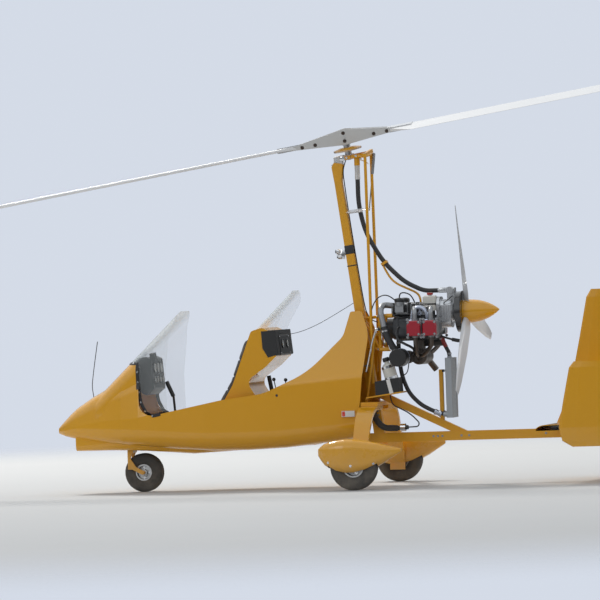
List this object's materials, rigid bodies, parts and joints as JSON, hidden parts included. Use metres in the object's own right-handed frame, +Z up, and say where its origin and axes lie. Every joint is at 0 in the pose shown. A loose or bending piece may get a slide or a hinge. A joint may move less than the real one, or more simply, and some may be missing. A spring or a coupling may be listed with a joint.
{
  "type": "gyrocopter",
  "caption": "Open two-seat tandem gyrocopter: moulded hull, mast with teetering rotor, pusher engine and propeller, spatted main wheels, steered nose wheel and tail.",
  "frame": {"origin": "on the ground in the plane of symmetry, below the rotor's teeter bolt", "axes": "+X aft, +Y to starboard, +Z up"},
  "size_m": [8.1417, 1.784, 3.3351],
  "materials": {
    "yellow_gelcoat": "high gloss moulded shell",
    "yellow_paint": "gloss powder coat",
    "clear_screen": "clear polycarbonate",
    "black_plastic": "matte black",
    "black_trim": "woven upholstery",
    "black_rubber": "matte hose rubber",
    "tyre": "treaded rubber",
    "aluminium": "cast, satin",
    "bare_steel": "machined",
    "white_paint": "gloss white",
    "grey_anodise": "matte anodised",
    "red_cover": "gloss red",
    "engine_dark": "dark cast casing",
    "white_plastic": "translucent off-white",
    "radiator_alloy": "finned core",
    "composite_white": "painted composite",
    "lamp_lens": "clear lens"
  },
  "bodies": {
    "airframe": {"aerial": "black_rubber", "air_filter": "black_plastic", "battery": "black_plastic", "boost_hose": "black_rubber", "brake_cylinder": "black_rubber", "centre_fin": "yellow_gelcoat", "cockpit_controls": "black_plastic", "control_rods": "yellow_paint", "coolant_bottle": "white_plastic", "coolant_hoses": "black_rubber", "cylinders": "aluminium", "drive_hose": "black_rubber", "end_fins": "yellow_gelcoat", "engine_block": "engine_dark", "engine_mount": "yellow_paint", "equipment_tray": "yellow_paint", "front_screen": "clear_screen", "front_seat": "black_trim", "gearbox": "aluminium", "head_arm": "yellow_paint", "head_frame": "grey_anodise", "hull_shell": "yellow_gelcoat", "instrument_panels": "black_plastic", "intake": "aluminium", "keel": "yellow_paint", "keel_brace": "yellow_paint", "lamps": "lamp_lens", "main_axles": "bare_steel", "main_legs": "yellow_gelcoat", "mast": "yellow_paint", "oil_tank": "white_plastic", "pinion_housing": "yellow_paint", "radiator": "radiator_alloy", "rear_bulkhead": "black_plastic", "rear_screen": "clear_screen", "rear_seat": "black_trim", "seat_base": "black_plastic", "seat_hump": "yellow_gelcoat", "silencer": "bare_steel", "spats": "yellow_gelcoat", "stabiliser": "yellow_gelcoat", "steering_tube": "bare_steel", "valve_covers": "red_cover"},
    "rotor_hub": {"spindle": "bare_steel", "drive_ring": "yellow_paint"},
    "rotor": {"hub_plates": "grey_anodise", "rotor_blades": "white_paint", "blade_roots": "aluminium"},
    "propeller": {"drive_plate": "black_plastic", "prop_hub": "yellow_gelcoat", "prop_blades": "composite_white"},
    "rudder_body": {"rudder": "yellow_gelcoat"},
    "nose_fork_body": {"nose_fork": "yellow_paint"},
    "nose_wheel": {"nose_tyre": "tyre", "nose_rim": "aluminium"},
    "main_wheel_left": {"main_tyre_left": "tyre", "main_rim_left": "aluminium"},
    "main_wheel_right": {"main_tyre_right": "tyre", "main_rim_right": "aluminium"}
  },
  "joints": [
    {"name": "rotor_spin", "type": "hinge", "parent": "airframe", "child": "rotor_hub", "pos_m": [0.01957, -0.00586, 2.57948], "axis": [-0.1515, -0.1392, 0.9786], "continuous": true},
    {"name": "rotor_teeter", "type": "hinge", "parent": "rotor_hub", "child": "rotor", "pos_m": [0.002, -0.022, 2.693], "axis": [-0.0213, 0.9903, 0.1375], "range_deg": [-8, 8]},
    {"name": "propeller_spin", "type": "hinge", "parent": "airframe", "child": "propeller", "pos_m": [0.917, 0, 1.32], "axis": [0.9996, 0, 0.0297], "continuous": true},
    {"name": "rudder_turn", "type": "hinge", "parent": "airframe", "child": "rudder_body", "pos_m": [2.075, 0, 0.9], "axis": [0, 0, 1], "range_deg": [-25, 25]},
    {"name": "nose_steer", "type": "hinge", "parent": "airframe", "child": "nose_fork_body", "pos_m": [-1.786, 0, 0.4], "axis": [0, 0, 1], "range_deg": [-25, 25]},
    {"name": "nose_wheel_spin", "type": "hinge", "parent": "nose_fork_body", "child": "nose_wheel", "pos_m": [-1.69, 0, 0.15], "axis": [0, 1, 0], "continuous": true},
    {"name": "main_wheel_left_spin", "type": "hinge", "parent": "airframe", "child": "main_wheel_left", "pos_m": [0.166, -0.8, 0.18], "axis": [0, 1, 0], "continuous": true},
    {"name": "main_wheel_right_spin", "type": "hinge", "parent": "airframe", "child": "main_wheel_right", "pos_m": [0.166, 0.8, 0.18], "axis": [0, 1, 0], "continuous": true}
  ]
}
